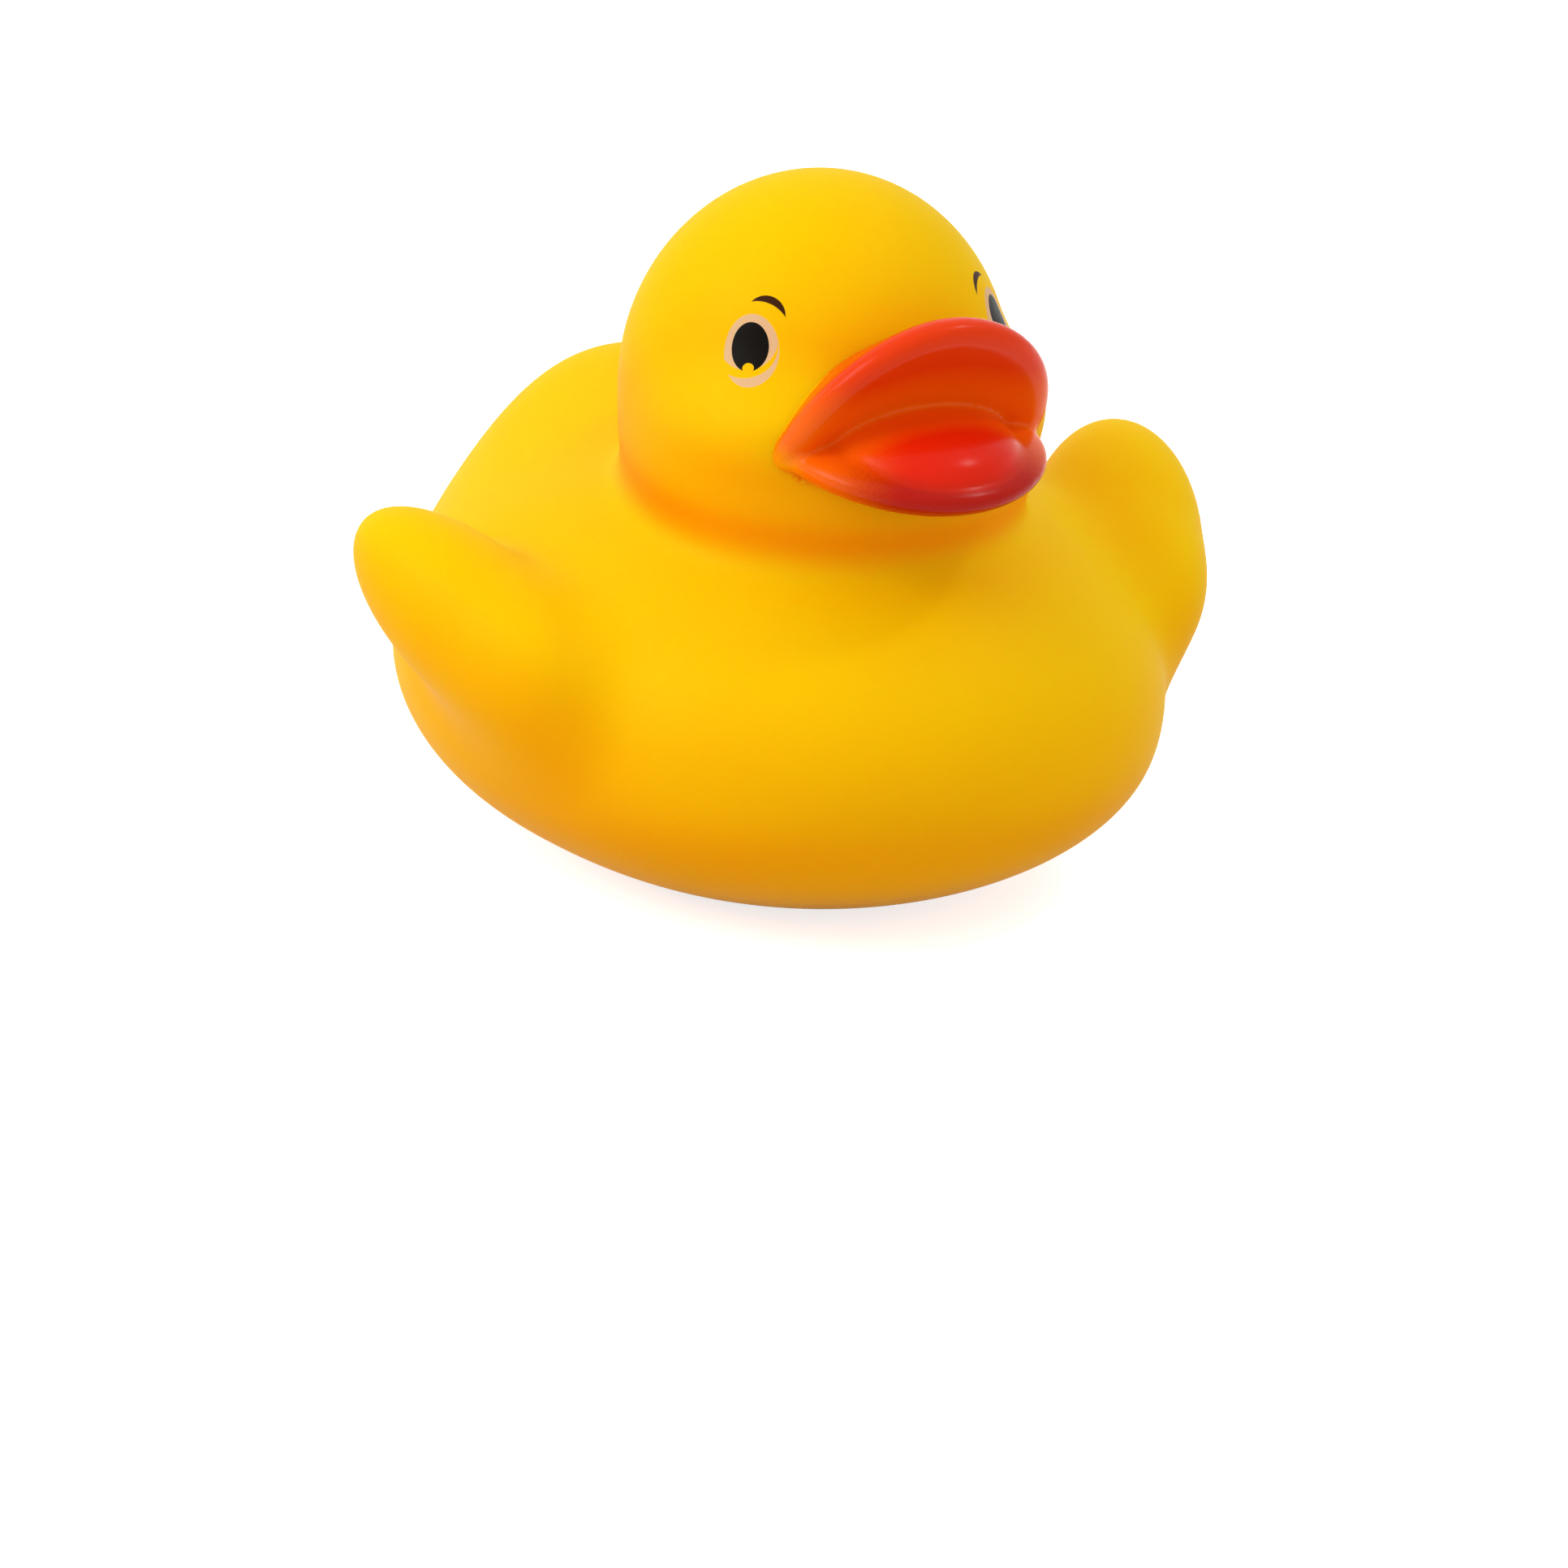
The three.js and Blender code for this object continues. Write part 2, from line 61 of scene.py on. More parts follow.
camera = bpy.data.objects.new("camera", bpy.data.cameras.new("camera"))
bpy.context.scene.collection.objects.link(camera)
bpy.context.scene.camera = camera
back = Vector(CAMERA_PLACE) - Vector(CAMERA_AIM)
level = (-back).to_track_quat("-Z", "Y").to_matrix()
roll = Matrix.Rotation(math.radians(CAMERA_ROLL_DEGREES), 3, "Z")
camera.matrix_world = Matrix.Translation(Vector(CAMERA_PLACE) * MM) @ (level @ roll).to_4x4()
camera.data.lens = CAMERA_LENS
camera.data.sensor_width = SENSOR_WIDTH
camera.data.clip_start = 0.05
camera.data.clip_end = 20
print("camera is", round(back.length), "mm from its aim")

# %% [markdown]
# Each swelling form is an ellipsoid. The moulding's skin runs from one to the next in soft
# hollows, so the skin is written as a formula too: roughly how far a point is outside the duck.
# A join with a reach fills the crease between two forms, as a sculptor's thumb does in clay.
# All sizes are in millimetres, and the duck faces -Y. They are the sizes of the CAD solid, but
# the cheeks stand 0.6 mm further in on each side.

# %% The form as a formula
BODY = dict(centre=(0, -0.25, 14.3), half=(26.8, 28.7, 15.7))
BREAST = dict(centre=(0, -13.55, 11.6), half=(18.9, 15.2, 7.9))
TAIL = dict(centre=(0, 15.05, 13.3), half=(13.1, 19.3, 8.8), rise=55)
HEAD = dict(centre=(0, -4.3, 35.6), half=(13.8, 13.6, 15.1), rise=10.6)
CHEEK = dict(centre=(6.1, -10.0, 35.3), half=(7.8, 9.0, 5.1))
JOWL = dict(centre=(0, -7.5, 30.5), half=(14.3, 13.0, 8.5))
WING_CENTRE = (25.1, -4.05, 19.8)
WING_HALF = (5.4, 12.4, 7.0)
WING_ROOT = dict(centre=(-0.5, -5.5, -1.2), half=(4.6, 6.6, 7.6))
WING_TURNS = (("Z", -24), ("X", 27), ("Y", 48))
BREAST_BLEND = 7
TAIL_BLEND = 11
WING_ROOT_BLEND = 3
WING_BLEND = 2.7
CHEEK_BLEND = 2.3
JOWL_BLEND = 3
NECK_BLEND = 3
BASE_EDGE_ROUND = 0.5

wing_turn = Matrix.Identity(3)
for axis, degrees in WING_TURNS:
    wing_turn = wing_turn @ Matrix.Rotation(math.radians(degrees), 3, axis)


def outside(points, centre, half, rise=0):
    """Roughly how far points are outside an ellipsoid that is tipped up by rise degrees."""
    offset = points - np.array(centre)
    cos, sin = math.cos(math.radians(rise)), math.sin(math.radians(rise))
    along = offset[:, 1] * cos + offset[:, 2] * sin
    across = offset[:, 2] * cos - offset[:, 1] * sin
    share = np.stack([offset[:, 0], along, across], 1) / np.array(half)
    reach = np.linalg.norm(share, axis=1)
    slope = np.linalg.norm(share / np.array(half), axis=1)
    return reach * (reach - 1) / np.maximum(slope, 1e-9)


def join(a, b, reach):
    near = np.maximum(reach - np.abs(a - b), 0)
    return np.minimum(a, b) - near * near / (4 * reach)


def form(points):
    """How far points in millimetres are outside the duck's skin, without its bill."""
    half = points.copy()
    half[:, 0] = np.abs(half[:, 0])
    skin = join(outside(half, **BODY), outside(half, **BREAST), BREAST_BLEND)
    skin = join(skin, outside(half, **TAIL), TAIL_BLEND)
    in_wing = (half - np.array(WING_CENTRE)) @ np.array(wing_turn)
    paddle = outside(in_wing, (0, 0, 0), WING_HALF)
    wing = join(paddle, outside(in_wing, **WING_ROOT), WING_ROOT_BLEND)
    skin = join(skin, wing, WING_BLEND)
    head = join(outside(half, **HEAD), outside(half, **CHEEK), CHEEK_BLEND)
    head = join(head, outside(half, **JOWL), JOWL_BLEND)
    skin = join(skin, head, NECK_BLEND)
    return -join(-skin, half[:, 2], BASE_EDGE_ROUND)


head_depth = -form(np.array([HEAD["centre"]]))[0]
print("the head's middle is", head_depth.round(1), "mm deep")

# %% [markdown]
# The skin could be one subdivided cage, but a cage that follows a neck, two wings and a tail
# needs many hand-set rings. Here the forms are laid in as balls, a voxel remesh turns them into
# one closed skin of even small faces, and each point is then drawn onto the formula. The even
# faces take the soft hollows without a pinch.

# %% Balls to start from
VOXEL = 0.5
SETTLE_ROUNDS = 6
SETTLE_SMOOTHING = 2
LAST_ROUNDS = 3
PROBE = 0.02
FLATTEST = 0.1
LONGEST_STEP = 1.5


def add_ball(mesh, centre, half, turn=None, fineness=5):
    made = bmesh.ops.create_icosphere(mesh, subdivisions=fineness, radius=1)["verts"]
    bmesh.ops.scale(mesh, vec=Vector(half), verts=made)
    bmesh.ops.rotate(mesh, cent=(0, 0, 0), matrix=turn or Matrix.Identity(3), verts=made)
    bmesh.ops.translate(mesh, vec=Vector(centre), verts=made)
    return made


def tipped(degrees):
    return Matrix.Rotation(math.radians(degrees), 3, "X")


def new_piece(name, mesh):
    data = bpy.data.meshes.new(name)
    mesh.to_mesh(data)
    mesh.free()
    piece = bpy.data.objects.new(name, data)
    bpy.context.scene.collection.objects.link(piece)
    return piece


balls = bmesh.new()
add_ball(balls, BODY["centre"], BODY["half"])
add_ball(balls, BREAST["centre"], BREAST["half"])
add_ball(balls, TAIL["centre"], TAIL["half"], tipped(TAIL["rise"]))
add_ball(balls, HEAD["centre"], HEAD["half"], tipped(HEAD["rise"]))
add_ball(balls, JOWL["centre"], JOWL["half"])
root_centre = Vector(WING_CENTRE) + wing_turn @ Vector(WING_ROOT["centre"])
for side in (1, -1):
    flip = Matrix.Diagonal((side, 1, 1))
    add_ball(balls, flip @ Vector(CHEEK["centre"]), CHEEK["half"])
    add_ball(balls, flip @ Vector(WING_CENTRE), WING_HALF, flip @ wing_turn @ flip)
    add_ball(balls, flip @ root_centre, WING_ROOT["half"], flip @ wing_turn @ flip)
skin = new_piece("duck_skin", balls)
print("balls have", len(skin.data.vertices), "points")

# %% One closed skin


def remeshed(piece, voxel):
    """Replaces a piece's mesh by one closed skin of even faces round all that it holds."""
    remesh = piece.modifiers.new("remesh", "REMESH")
    remesh.mode = "VOXEL"
    remesh.voxel_size = voxel
    baked(piece)


def baked(piece):
    """Applies a piece's modifiers to its mesh."""
    graph = bpy.context.evaluated_depsgraph_get()
    made = bpy.data.meshes.new_from_object(piece.evaluated_get(graph))
    piece.modifiers.clear()
    old = piece.data
    piece.data = made
    bpy.data.meshes.remove(old)


def places(piece):
    flat = np.empty(len(piece.data.vertices) * 3)
    piece.data.vertices.foreach_get("co", flat)
    return flat.reshape(-1, 3)


def set_places(piece, points):
    piece.data.vertices.foreach_set("co", points.ravel())
    piece.data.update()


def slope_of(points):
    steps = np.eye(3) * PROBE
    climbs = [form(points + step) - form(points - step) for step in steps]
    return np.stack(climbs, 1) / (2 * PROBE)


def drawn_on(points):
    """Points moved straight onto the skin."""
    slope = slope_of(points)
    steep = np.maximum((slope**2).sum(1), FLATTEST)
    step = np.clip(form(points) / steep, -LONGEST_STEP, LONGEST_STEP)
    return points - step[:, None] * slope


def smoothed(piece, rounds):
    mesh = bmesh.new()
    mesh.from_mesh(piece.data)
    for _ in range(rounds):
        bmesh.ops.smooth_vert(
            mesh, verts=mesh.verts, factor=0.5, use_axis_x=True, use_axis_y=True, use_axis_z=True
        )
    mesh.to_mesh(piece.data)
    mesh.free()


remeshed(skin, VOXEL)
for _ in range(SETTLE_ROUNDS):
    set_places(skin, drawn_on(places(skin)))
    smoothed(skin, SETTLE_SMOOTHING)
for _ in range(LAST_ROUNDS):
    set_places(skin, drawn_on(places(skin)))
off = np.abs(form(places(skin))).max()
print("skin has", len(skin.data.polygons), "faces, off the form by", off.round(4))

# %% [markdown]
# The base is thicker round a small recess, where the squeaker sits in its hole. Nothing of the
# hollow inside can be seen past it, so the skin is cut only as deep as a small chamber round the
# squeaker's inner flange.

# %% Seat of the squeaker
RECESS = dict(radius=6, top=1.2)
HOLE = dict(radius=3.5, top=2.7)
CHAMBER = dict(radius=5.6, top=5)
BELOW_BASE = -1.5
BASE_CENTRE = (0, -0.25, 0)
ROUND_STEPS = 96


def spun(profile, steps):
    """A closed piece turned about Z from points of radius and height."""
    mesh = bmesh.new()
    points = [mesh.verts.new((radius, 0, up)) for radius, up in profile]
    edges = [mesh.edges.new(pair) for pair in zip(points, points[1:])]
    bmesh.ops.spin(
        mesh,
        geom=points + edges,
        cent=(0, 0, 0),
        axis=(0, 0, 1),
        dvec=(0, 0, 0),
        angle=2 * math.pi,
        steps=steps,
        use_merge=True,
        use_duplicate=False,
    )
    bmesh.ops.remove_doubles(mesh, verts=mesh.verts, dist=1e-4)
    bmesh.ops.recalc_face_normals(mesh, faces=mesh.faces)
    return mesh


seat_profile = [(0, BELOW_BASE)]
under = BELOW_BASE
for part in (RECESS, HOLE, CHAMBER):
    seat_profile += [(part["radius"], under), (part["radius"], part["top"])]
    under = part["top"]
seat_profile.append((0, under))
seat_mesh = spun(seat_profile, ROUND_STEPS)
bmesh.ops.translate(seat_mesh, vec=Vector(BASE_CENTRE), verts=seat_mesh.verts)
seat = new_piece("seat", seat_mesh)
cut = skin.modifiers.new("seat", "BOOLEAN")
cut.operation = "DIFFERENCE"
cut.object = seat
cut.solver = "EXACT"
baked(skin)
bpy.data.objects.remove(seat)
print("skin has", len(skin.data.polygons), "faces with its seat")

# %% [markdown]
# The bill is an open beak. Its upper lip is a fan: a round plate, hollowed like a spoon and
# drawn out into an arch that leans forward as it rises. It starts as a profile spun into a
# plate of radius one, because a spin gives clean rings round the rim, where the light shows any
# fault. The lower lip, the tongue and the gum behind it are flattened balls. A fine remesh then
# makes one skin of them all, and a little smoothing rounds the creases as the mould does. In
# places these forms lie about a millimetre off the CAD solid's, to come closer to the photo.

# %% Bill
CORNER_FORWARD = 18.1
CORNER_UP = 34
FAN_HALF_WIDTH = 10.5
FAN_RISE = 11.2
FAN_REACH = 5.8
FAN_BOW = 0.6
FAN_HOLLOW = 1.6
FAN_STEP = 1.0
FAN_STEP_HEIGHT = 0.12
RIM_ROUND = 1.6
FAN_THICKNESS = 8
FAN_ROOT_SHARE = 0.66
LOWER_LIP = dict(centre=(0, -18.1, 33.7), half=(9.6, 9.7, 2.3), rise=4)
LOWER_LIP_SMILE = 0.9
TONGUE = dict(centre=(0, -20.0, 35.0), half=(6.8, 6.8, 2.9), rise=8)
GUM = dict(centre=(0, -17.6, 34.4), half=(10.2, 3.4, 1.7))
BILL_SOFTENING = 8
BILL_VOXEL = 0.22
BALL_FINENESS = 6
FACE_STEPS = 24
RIM_STEPS = 16
RIM_TURN = 2.0
FAN_ROUND_STEPS = 144

rim_share = RIM_ROUND / FAN_RISE
face_edge = 1 - rim_share
shares = [i / FACE_STEPS for i in range(FACE_STEPS + 1)]
profile = [(face_edge * share, FAN_HOLLOW * (1 - share**2)) for share in shares]
for i in range(1, RIM_STEPS + 1):
    turn = RIM_TURN * i / RIM_STEPS
    profile.append((face_edge + rim_share * math.sin(turn), RIM_ROUND * (1 - math.cos(turn))))
profile += [(FAN_ROOT_SHARE, FAN_THICKNESS), (0, FAN_THICKNESS)]
bill_mesh = spun(profile, FAN_ROUND_STEPS)


def fan_reach(rise):
    """How far the fan stands forward of the mouth's corners at a share of its height."""
    step = rise * (1 + FAN_STEP_HEIGHT) / (rise + FAN_STEP_HEIGHT)
    return FAN_REACH * (rise + FAN_BOW * rise * rise * (1 - rise)) + FAN_STEP * step


for point in bill_mesh.verts:
    across, sideways, depth = point.co
    forward = fan_reach(max(sideways, 0)) - depth
    up = sideways * FAN_RISE if sideways > 0 else sideways * LOWER_LIP["half"][2] / 2
    point.co = (across * FAN_HALF_WIDTH, -CORNER_FORWARD - forward, CORNER_UP + up)
bmesh.ops.recalc_face_normals(bill_mesh, faces=bill_mesh.faces)
lip_turn = tipped(LOWER_LIP["rise"])
lip = add_ball(bill_mesh, LOWER_LIP["centre"], LOWER_LIP["half"], lip_turn, BALL_FINENESS)
for point in lip:
    point.co.z += LOWER_LIP_SMILE * (point.co.x / LOWER_LIP["half"][0]) ** 2
add_ball(bill_mesh, TONGUE["centre"], TONGUE["half"], tipped(TONGUE["rise"]), BALL_FINENESS)
add_ball(bill_mesh, GUM["centre"], GUM["half"], None, BALL_FINENESS)
bill = new_piece("duck_bill", bill_mesh)
remeshed(bill, BILL_VOXEL)
smoothed(bill, BILL_SOFTENING)
print("bill has", len(bill.data.polygons), "faces")

# %% [markdown]
# Some measures steer the finishes. Shade marks painted shade: where light would bounce between
# yellow walls and come back orange, in the hollows under the chin and the wings and a little
# wherever the skin faces down, the vinyl's colour is painted orange. It is found by feeling some
# millimetres out along the normal: over a hollow the formula grows slower than the step. On the
# bill, groove is how far a strong smoothing lifts a point, and there the lacquer is painted a
# darker red as painted shade. Thin is how near a point is to the crease under the fan, which
# sprayed paint hardly reached. Tongue and lip tell the two parts that took a second coat. Bare is
# the foot of the fan's sides by the cheeks, which the spray left out.

# %% Measure the hollows
FEEL_OUT = (8, 13, 18)
HOLLOW_SHARE = 1.15
HOLLOW_FACING = (-0.6875, 0.5625)
DOWN_SHARE = 0.36
DOWN_FACING = (-0.6, 0.4)
GROOVE_DEPTH = 0.25
GROOVE_ROUNDS = 40
THIN_REACH = (0.3, 4.5)
COAT_REACH = 1.2
BARE_REACH = (0.6, 1.3)
BARE_DEPTH = (1.9, 2.6)
BARE_SIDE = (5.0, 7.5)
FAN_FOOT = 0.05


def store(piece, name, values):
    attribute = piece.data.attributes.new(name, "FLOAT", "POINT")
    attribute.data.foreach_set("value", values.astype(np.float32))


def between(values, low, high):
    """A share that climbs from nought at low to one at high."""
    return np.clip((values - low) / (high - low), 0, 1)


def normals(piece):
    flat = np.empty(len(piece.data.vertices) * 3)
    piece.data.vertex_normals.foreach_get("vector", flat)
    return flat.reshape(-1, 3)


points = places(skin)
ways = normals(skin)
missing = [1 - form(points + ways * step) / step for step in FEEL_OUT]
down = -ways[:, 2]
shade = HOLLOW_SHARE * between(down, *HOLLOW_FACING) * sum(missing) / len(FEEL_OUT)
shade += DOWN_SHARE * between(down, *DOWN_FACING)
store(skin, "shade", np.clip(shade, 0, 1))
print("shade on the skin reaches", shade.max().round(2))


sharp = places(bill).copy()
bill_ways = normals(bill)
smoothed(bill, GROOVE_ROUNDS)
lift = ((places(bill) - sharp) * bill_ways).sum(1)
set_places(bill, sharp)
level = sharp.copy()
level[:, 2] -= LOWER_LIP_SMILE * (sharp[:, 0] / LOWER_LIP["half"][0]) ** 2
from_tongue = outside(sharp, **TONGUE)
from_lip = outside(level, **LOWER_LIP)
from_mouth = np.maximum(np.minimum(from_tongue, outside(sharp, **GUM)), 0)
rise = np.clip((sharp[:, 2] - CORNER_UP) / FAN_RISE, 0, 1)
depth = fan_reach(rise) + sharp[:, 1] + CORNER_FORWARD
side_share = between(np.abs(sharp[:, 0]), *BARE_SIDE)
out_of_middle = (sharp[:, 0] / FAN_HALF_WIDTH) ** 2 + rise**2
before_fan = np.maximum(FAN_HOLLOW * (1 - out_of_middle) - depth, 0)
thin = 1 - between(before_fan + from_mouth, *THIN_REACH)
store(bill, "groove", np.clip(lift / GROOVE_DEPTH, 0, 1))
store(bill, "thin", thin)
store(bill, "tongue", 1 - between(from_tongue, 0, COAT_REACH))
off_tongue = between(from_tongue, 0, COAT_REACH / 2)
on_lip = off_tongue * (1 - between(from_lip, 0, COAT_REACH / 2))
store(bill, "lip", on_lip * (1 - thin))
by_cheek = 1 - between(form(sharp), *BARE_REACH)
store(bill, "bare", by_cheek * between(depth, *BARE_DEPTH) * side_share * (rise > FAN_FOOT))
print("grooves of the bill run from", lift.min().round(2), "to", lift.max().round(2))

# %% To metres, shaded smooth
for piece in (skin, bill):
    piece.data.transform(Matrix.Scale(MM, 4))
    piece.data.polygons.foreach_set("use_smooth", [True] * len(piece.data.polygons))
    piece.data.update()
    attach(piece, "root")
    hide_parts("duck_shell")
    print(piece.name, "is", [round(side / MM, 1) for side in piece.dimensions], "mm")

# %% [markdown]
# Every finish is a small tree of nodes. One function adds a node, sets it and links it, and one
# turns the hex colours that people name into the linear values that light adds up in.

# %% Helpers for finishes


def linear(colour):
    parts = [int(colour[i : i + 2], 16) / 255 for i in (1, 3, 5)]
    return [c / 12.92 if c <= 0.04045 else ((c + 0.055) / 1.055) ** 2.4 for c in parts] + [1]


def add_node(tree, kind, inputs=None, **settings):
    node = tree.nodes.new(kind)
    for name, value in settings.items():
        setattr(node, name, value)
    for key, value in (inputs or {}).items():
        if isinstance(value, bpy.types.NodeSocket):
            tree.links.new(value, node.inputs[key])
        else:
            node.inputs[key].default_value = value
    return node


def new_finish(name):
    finish = bpy.data.materials.new(name)
    finish.use_nodes = True
    finish.node_tree.nodes.clear()
    return finish, finish.node_tree


def mixed(tree, share, first, second):
    made = add_node(tree, "ShaderNodeMix", {0: share, 6: first, 7: second}, data_type="RGBA")
    return made.outputs[2]


def ramped(tree, value, low, high, to_low=0, to_high=1):
    made = add_node(
        tree,
        "ShaderNodeMapRange",
        {0: value, 1: low, 2: high, 3: to_low, 4: to_high},
        interpolation_type="SMOOTHSTEP",
    )
    return made.outputs[0]


def combined(tree, operation, first, second=0.0):
    return add_node(tree, "ShaderNodeMath", {0: first, 1: second}, operation=operation).outputs[0]


def without(tree, mask):
    return combined(tree, "SUBTRACT", 1.0, mask)


def length_of(tree, vector):
    made = add_node(tree, "ShaderNodeVectorMath", {0: vector}, operation="LENGTH")
    return made.outputs["Value"]


# %% [markdown]
# The bill is sprayed with red lacquer over the yellow vinyl. The spray is thick on the lips and
# the tongue, thinner in the crease over the tongue, and turns orange towards the mouth's corners,
# where it ends in fine specks. Cheek and bill take the same colours by their distance from the
# corner, so that the paint runs from one to the other. Real overspray is finer than a tenth of a
# millimetre; its specks are drawn a little coarser, so that they show.

# %% The lacquer's colours
MOUTH_CORNER = (10.5, -18.2, 34.0)
SPECK_REACH = 0.35
SPECK_GRAIN = 0.15
SPECK_DETAIL = 4.0
SPECK_SPREAD = (0.3, 0.7)
ORANGE_REACH = (2.4 * MM, 10 * MM)
YELLOW_REACH = (0, 2.6 * MM)
FAN_RED = "#ea3a02"
TONGUE_RED = "#e62202"
LIP_RED = "#b81604"
# A darker red painted into the bill's grooves as shade.
GROOVE_SHADE_RED = "#a00e02"
THIN_ORANGE = "#ff7002"
SPRAY_ORANGE = "#fa6804"
SPRAY_YELLOW = "#fe9c02"
BARE_YELLOW = "#fdb200"
THIN_SHARE = 0.9
BARE_SCATTER = 0.3


def folded_place(tree):
    """Object coordinates with the left half laid over the right, and the plain ones."""
    place = add_node(tree, "ShaderNodeTexCoord").outputs["Object"]
    parts = add_node(tree, "ShaderNodeSeparateXYZ", {0: place}).outputs
    across = combined(tree, "ABSOLUTE", parts[0])
    folded = add_node(tree, "ShaderNodeCombineXYZ", {0: across, 1: parts[1], 2: parts[2]})
    return folded.outputs[0], place


def noise(tree, place, grain, detail=2.0):
    """Cloudy values round a half, with lumps about as wide as grain in millimetres."""
    inputs = {"Vector": place, "Scale": 1 / (grain * MM), "Detail": detail}
    return add_node(tree, "ShaderNodeTexNoise", inputs).outputs["Fac"]


def measured(tree, name):
    return add_node(tree, "ShaderNodeAttribute", attribute_name=name).outputs["Fac"]


def scattered(tree, specks, reach):
    """The cloudy values of specks, spread evenly round nought as far as reach."""
    return ramped(tree, specks, *SPECK_SPREAD, -reach, reach)


def lacquered(tree, folded, specks, red):
    """Red lacquer that turns orange and then yellow towards the mouth's corner."""
    corner = {0: folded, 1: Vector(MOUTH_CORNER) * MM}
    gap = add_node(tree, "ShaderNodeVectorMath", corner, operation="DISTANCE").outputs["Value"]
    reach = combined(tree, "ADD", gap, scattered(tree, specks, SPECK_REACH * MM))
    colour = mixed(tree, ramped(tree, reach, *ORANGE_REACH), linear(SPRAY_ORANGE), red)
    return mixed(tree, ramped(tree, reach, *YELLOW_REACH), linear(SPRAY_YELLOW), colour)


# %% [markdown]
# The eyes and brows are pad printed: flat ink with crisp edges, laid on one side and mirrored on
# the other. They could be decals of their own, but ink has no thickness worth a mesh, so they are
# masks in the skin's finish. A plane stands on the cheek over the eye, and each shape is an oval
# in it, in millimetres. A crescent is one oval less another.

# %% Places of the prints
EYE_CENTRE = (9.75, -12.75, 41.0)
EYE_RIGHT = (-0.637, -0.771, 0.0)
EYE_UP = (-0.390, 0.323, 0.862)
EYE_REACH = (7.0, 7.5)
PRINTS = {
    "oval": ((0.02, -0.06), (2.0, 2.64), -13),
    "white_above": ((-0.55, 1.06), (2.26, 2.57), -31),
    "gap_below": ((-0.62, 0.46), (2.37, 2.64), -45),
    "pupil": ((-0.12, 0.23), (1.36, 1.76), -10),
    "glint": ((0.09, -1.26), (0.42, 0.38), 0),
    "brow_over": ((0.52, 2.61), (1.45, 1.36), 27),
    "brow_under": ((0.18, 1.19), (2.45, 2.28), 25),
}
PRINT_EDGE = 0.015
MOUTH_FILL = dict(centre=(7.4, -19.5, 34.6), half=(3.5, 2.6, 1.7))
MOUTH_SCATTER = 0.2
MOUTH_EDGE = 0.15

# %% [markdown]
# The skin is plasticised vinyl, moulded against a fine-blasted metal wall. That gives the eye a
# matt, slightly grainy surface with hardly any gloss, and light seeps some millimetres into it
# and comes back redder. The base colour drifts a little, as pigment does in a thin moulding. The
# ink is matt too, and keeps the light out.

# %% Soft vinyl
YELLOWS = ("#fcc200", "#fec800")
BOUNCED_ORANGE = "#ff8400"
WHITE_INK = "#e4b888"
BROWN_INK = "#40200e"
BLACK_INK = "#14100c"
WHITE_INK_COVER = 0.7

vinyl, tree = new_finish("soft_vinyl_yellow")
folded, place = folded_place(tree)
from_eye = add_node(
    tree,
    "ShaderNodeVectorMath",
    {0: folded, 1: Vector(EYE_CENTRE) * MM},
    operation="SUBTRACT",
).outputs[0]
near_eye = ramped(tree, length_of(tree, from_eye), EYE_REACH[1] * MM, EYE_REACH[0] * MM)
along = [
    add_node(
        tree, "ShaderNodeVectorMath", {0: from_eye, 1: Vector(way) / MM}, operation="DOT_PRODUCT"
    ).outputs["Value"]
    for way in (EYE_RIGHT, EYE_UP)
]
on_plane = add_node(tree, "ShaderNodeCombineXYZ", {0: along[0], 1: along[1]}).outputs[0]


def printed(name):
    """One inside the named oval of the eye's print, and nought outside it."""
    (right, up), (half_width, half_height), lean = PRINTS[name]
    moved = add_node(
        tree,
        "ShaderNodeMapping",
        {
            0: on_plane,
            1: (right, up, 0),
            2: (0, 0, math.radians(-lean)),
            3: (half_width, half_height, 1),
        },
        vector_type="TEXTURE",
    ).outputs[0]
    return ramped(tree, length_of(tree, moved), 1 + PRINT_EDGE, 1 - PRINT_EDGE)


no_glint = without(tree, printed("glint"))
open_ring = without(tree, printed("gap_below"))
white_parts = combined(tree, "MAXIMUM", printed("white_above"), open_ring)
white = combined(tree, "MULTIPLY", printed("oval"), white_parts)
white = combined(tree, "MULTIPLY", white, no_glint)
black = combined(tree, "MULTIPLY", printed("pupil"), no_glint)
brow = combined(tree, "MULTIPLY", printed("brow_over"), without(tree, printed("brow_under")))
white, black, brow = [
    combined(tree, "MULTIPLY", shape, near_eye) for shape in (white, black, brow)
]
ink = combined(tree, "MAXIMUM", black, brow)

mottle = noise(tree, place, 9, 3.0)
yellow = mixed(tree, mottle, *map(linear, YELLOWS))
# Painted shade: the colour turns orange in the hollows and where the skin faces down, for light
# bounced between yellow walls.
colour = mixed(tree, measured(tree, "shade"), yellow, linear(BOUNCED_ORANGE))
mouth = add_node(
    tree,
    "ShaderNodeMapping",
    {0: folded, 1: Vector(MOUTH_FILL["centre"]) * MM, 3: Vector(MOUTH_FILL["half"]) * MM},
    vector_type="TEXTURE",
).outputs[0]
specks = noise(tree, place, SPECK_GRAIN, SPECK_DETAIL)
mouth = combined(tree, "ADD", length_of(tree, mouth), scattered(tree, specks, MOUTH_SCATTER))
spray = lacquered(tree, folded, specks, linear(FAN_RED))
colour = mixed(tree, ramped(tree, mouth, 1 + MOUTH_EDGE, 1 - MOUTH_EDGE), colour, spray)
colour = mixed(tree, white, colour, linear(WHITE_INK))
colour = mixed(tree, brow, colour, linear(BROWN_INK))
colour = mixed(tree, black, colour, linear(BLACK_INK))
white_cover = combined(tree, "MULTIPLY", white, WHITE_INK_COVER)
covered = combined(tree, "MAXIMUM", ink, white_cover)
soft_share = combined(tree, "MULTIPLY", without(tree, covered), 0.5)
